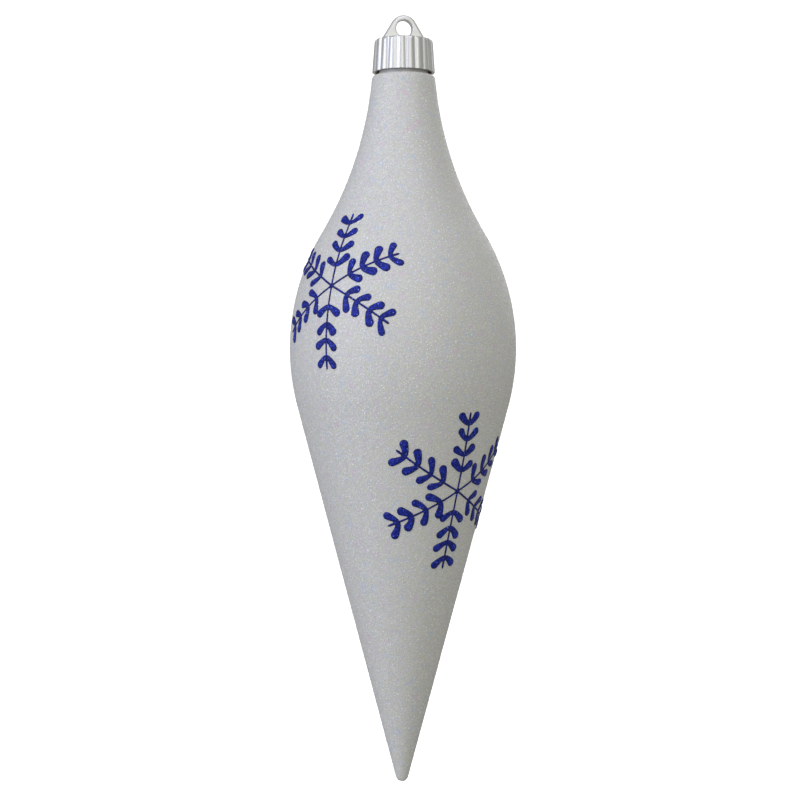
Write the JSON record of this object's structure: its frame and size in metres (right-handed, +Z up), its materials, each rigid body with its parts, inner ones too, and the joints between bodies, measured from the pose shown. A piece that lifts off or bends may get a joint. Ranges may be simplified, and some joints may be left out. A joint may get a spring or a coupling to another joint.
{
  "type": "hanging ornament",
  "caption": "Long icicle-shaped hanging ornament: a glitter-coated hollow drop with raised blue snowflakes, hung from a fluted metallic cap with an eye.",
  "frame": {"origin": "centre of the hole in the cap's eye, midway through its thickness", "axes": "+Z up, along the drop from tip to cap; +Y along the eye's hole, towards the back; -Y is the front"},
  "size_m": [0.095, 0.0944, 0.3199],
  "materials": {
    "plated_plastic": "polished",
    "white_plastic": "gloss",
    "white_glitter": "satin",
    "blue_glitter": "satin"
  },
  "bodies": {
    "cap": {"fluted_cap": "plated_plastic"},
    "drop": {"upper_body_half": "white_plastic", "lower_body_half": "white_plastic", "glitter_coat": "white_glitter", "upper_snowflake_front": "blue_glitter", "upper_snowflake_back": "blue_glitter", "lower_snowflake_front": "blue_glitter", "lower_snowflake_back": "blue_glitter"}
  },
  "joints": [
    {"name": "cap_pull", "type": "slide", "parent": "cap", "child": "drop", "axis": [0, 0, -1], "range_m": [0, 0.018]}
  ]
}
